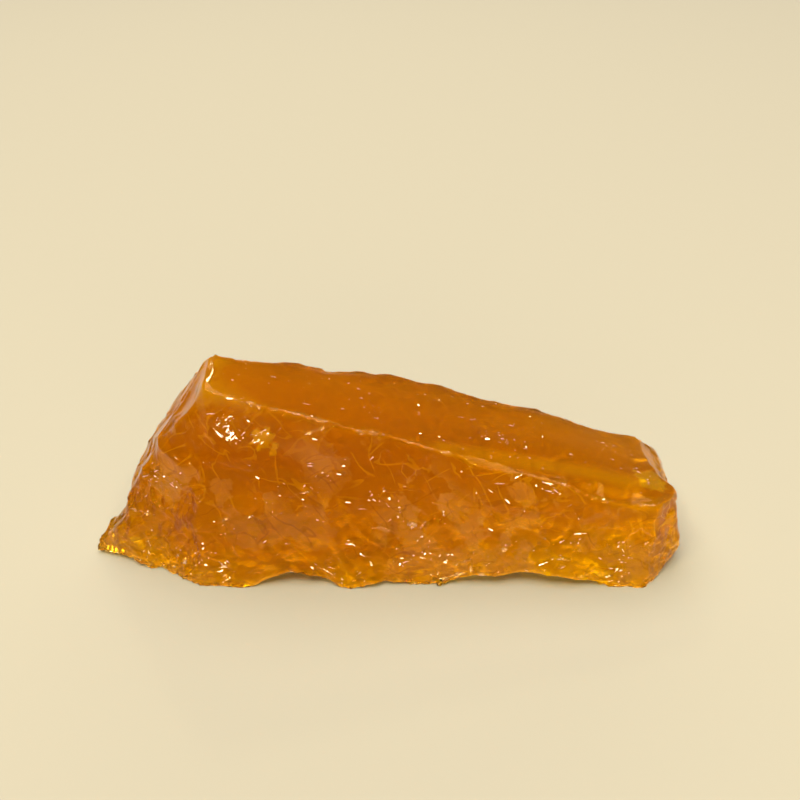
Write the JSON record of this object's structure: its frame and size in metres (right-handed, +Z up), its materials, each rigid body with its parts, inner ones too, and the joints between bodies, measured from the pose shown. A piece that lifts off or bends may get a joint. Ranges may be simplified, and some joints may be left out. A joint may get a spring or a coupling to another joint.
{
  "type": "maltose candy chunk",
  "caption": "Broken chunk of translucent amber maltose candy: a long wedge with flaky shell-like break faces, a smooth sloping top and a flared foot.",
  "frame": {"origin": "on the surface that the chunk lies on, under the middle of its bounding box", "axes": "+X from the tall end to the low end, -Y is the side of the widest broken face, +Z up"},
  "size_m": [0.1022, 0.0394, 0.0357],
  "materials": {
    "amber_candy": "glossy broken sugar glass, translucent amber, cloudy inside, yellow where it is thin"
  },
  "bodies": {
    "root": {"candy_chunk": "amber_candy"}
  },
  "joints": []
}
